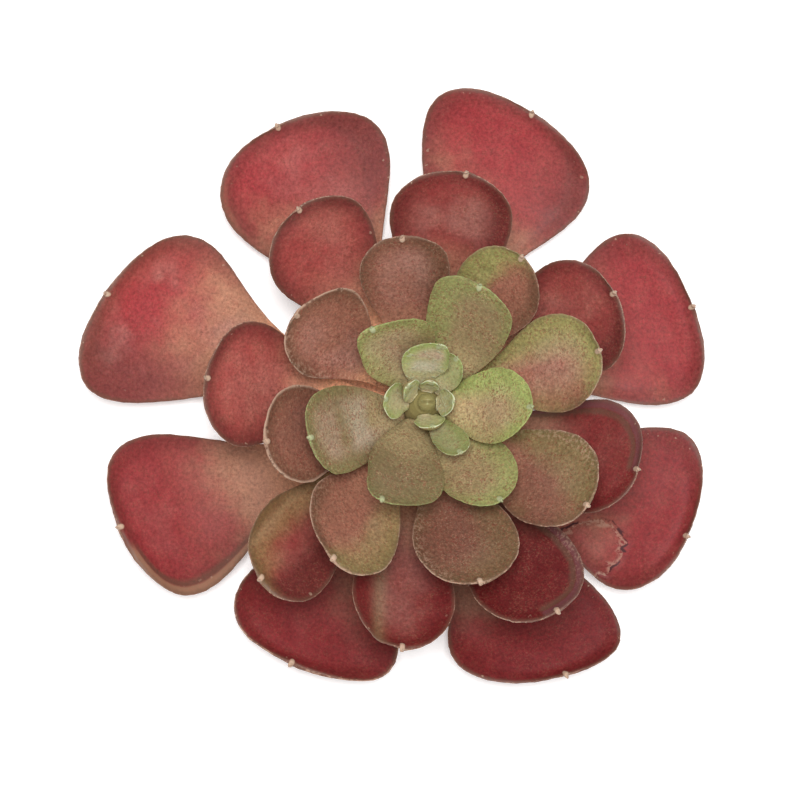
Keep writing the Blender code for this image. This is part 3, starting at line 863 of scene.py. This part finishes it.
def make_stem_bark(colours):
    material, graph, shader = new_shader("stem_bark")
    place = object_place(graph)
    parts = graph.add("ShaderNodeSeparateXYZ", {}, place).socket.node
    height = Value(graph, parts.outputs["Z"])
    bark = graph.noise(place, 450.0, 5.0, 0.65)
    colour = scaled(graph, tuple(colours.stem), 0.6 + 0.8 * bark)
    young = graph.step(height, 20.0 * MM, 30.0 * MM)
    colour = graph.mix(young, colour, opaque(colours.bud))
    cut = 1.0 - graph.step(height, 0.05 * MM, 0.3 * MM)
    colour = graph.mix(cut, colour, opaque(colours.cut))
    graph.fill(shader.inputs["Base Color"], colour)
    graph.fill(shader.inputs["Roughness"], 0.6 + 0.3 * (bark - 0.5))
    bump = graph.add("ShaderNodeBump", {}, Strength=0.6, Distance=0.5 * MM, Height=bark)
    graph.fill(shader.inputs["Normal"], bump)
    return material


class ECHEVERIA_OT_stem(bpy.types.Operator):
    """Finish the stem stub and its cut face"""
    bl_idname = "echeveria.stem"
    bl_label = "Stem"

    def execute(self, context):
        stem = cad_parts["stem"]
        stem.data.materials.clear()
        stem.data.materials.append(make_stem_bark(context.scene.echeveria_colours))
        return {"FINISHED"}


def add_area_light(name, place, size, power, target):
    light = bpy.data.lights.new(name, "AREA")
    light.shape = "DISK"
    light.size = size
    light.energy = power
    lamp = bpy.data.objects.new(name, light)
    lamp.location = place
    lamp.rotation_euler = (Vector(target) - Vector(place)).to_track_quat("-Z", "Y").to_euler()
    bpy.context.scene.collection.objects.link(lamp)


def add_camera():
    """A long lens almost straight above the rosette."""
    camera = bpy.data.objects.new("camera", bpy.data.cameras.new("camera"))
    bpy.context.scene.collection.objects.link(camera)
    lean = [-math.sin(math.radians(CAMERA_LEAN_X)), -math.sin(math.radians(CAMERA_LEAN_Y))]
    back = Vector((lean[0], lean[1], math.sqrt(1 - lean[0] ** 2 - lean[1] ** 2)))
    right = Vector((0, 1, 0)).cross(back).normalized()
    above = back.cross(right)
    matrix = Matrix((right, above, back)).transposed().to_4x4()
    matrix.translation = (Vector(CAMERA_TARGET) + back * CAMERA_DISTANCE) * MM
    camera.matrix_world = matrix
    camera.data.lens = CAMERA_LENS
    camera.data.sensor_width = SENSOR_WIDTH
    bpy.context.scene.camera = camera


class ECHEVERIA_OT_stage(bpy.types.Operator):
    """Add the pale floor, the soft light and the camera"""
    bl_idname = "echeveria.stage"
    bl_label = "Stage"

    def execute(self, context):
        size = context.scene.echeveria_sizes.floor_size
        bpy.ops.mesh.primitive_plane_add(size=size)
        floor = context.object
        floor.name = "floor"
        material, _, shader = new_shader("floor_white")
        shader.inputs["Base Color"].default_value = opaque(context.scene.echeveria_colours.floor)
        shader.inputs["Roughness"].default_value = 0.9
        shader.inputs["Emission Color"].default_value = (1, 1, 1, 1)
        shader.inputs["Emission Strength"].default_value = FLOOR_GLOW
        floor.data.materials.append(material)
        floor.location.z = -FLOOR_DROP * MM
        world = bpy.data.worlds.new("soft_room")
        world.use_nodes = True
        world.node_tree.nodes["Background"].inputs["Color"].default_value = (1, 1, 1, 1)
        world.node_tree.nodes["Background"].inputs["Strength"].default_value = ROOM_LIGHT
        context.scene.world = world
        add_area_light("key", *KEY_LAMP, LAMP_TARGET)
        add_area_light("fill", *FILL_LAMP, LAMP_TARGET)
        add_camera()
        context.scene.view_settings.view_transform = "Standard"
        return {"FINISHED"}


class ECHEVERIA_PT_panel(bpy.types.Panel):
    """Lists the steps that build the rosette"""
    bl_idname = "ECHEVERIA_PT_panel"
    bl_label = "Echeveria"
    bl_space_type = "VIEW_3D"
    bl_region_type = "UI"
    bl_category = "Echeveria"

    def draw(self, context):
        for step in STEPS:
            self.layout.operator(step.bl_idname)
        for group in (context.scene.echeveria_sizes, context.scene.echeveria_colours):
            for name in group.__annotations__:
                self.layout.prop(group, name)


STEPS = (ECHEVERIA_OT_outer_leaves, ECHEVERIA_OT_second_leaves, ECHEVERIA_OT_third_leaves,
         ECHEVERIA_OT_fourth_leaves, ECHEVERIA_OT_heart_leaves, ECHEVERIA_OT_bud, ECHEVERIA_OT_stem,
         ECHEVERIA_OT_stage)
CLASSES = (EcheveriaSizes, EcheveriaColours) + STEPS + (ECHEVERIA_PT_panel,)


def register():
    for item in CLASSES:
        bpy.utils.register_class(item)
    bpy.types.Scene.echeveria_sizes = bpy.props.PointerProperty(type=EcheveriaSizes)
    bpy.types.Scene.echeveria_colours = bpy.props.PointerProperty(type=EcheveriaColours)


def unregister():
    del bpy.types.Scene.echeveria_colours
    del bpy.types.Scene.echeveria_sizes
    for item in reversed(CLASSES):
        bpy.utils.unregister_class(item)


def main():
    register()
    bpy.ops.echeveria.outer_leaves()
    bpy.ops.echeveria.second_leaves()
    bpy.ops.echeveria.third_leaves()
    bpy.ops.echeveria.fourth_leaves()
    bpy.ops.echeveria.heart_leaves()
    bpy.ops.echeveria.bud()
    bpy.ops.echeveria.stem()
    bpy.ops.echeveria.stage()


if __name__ == "__main__":
    main()
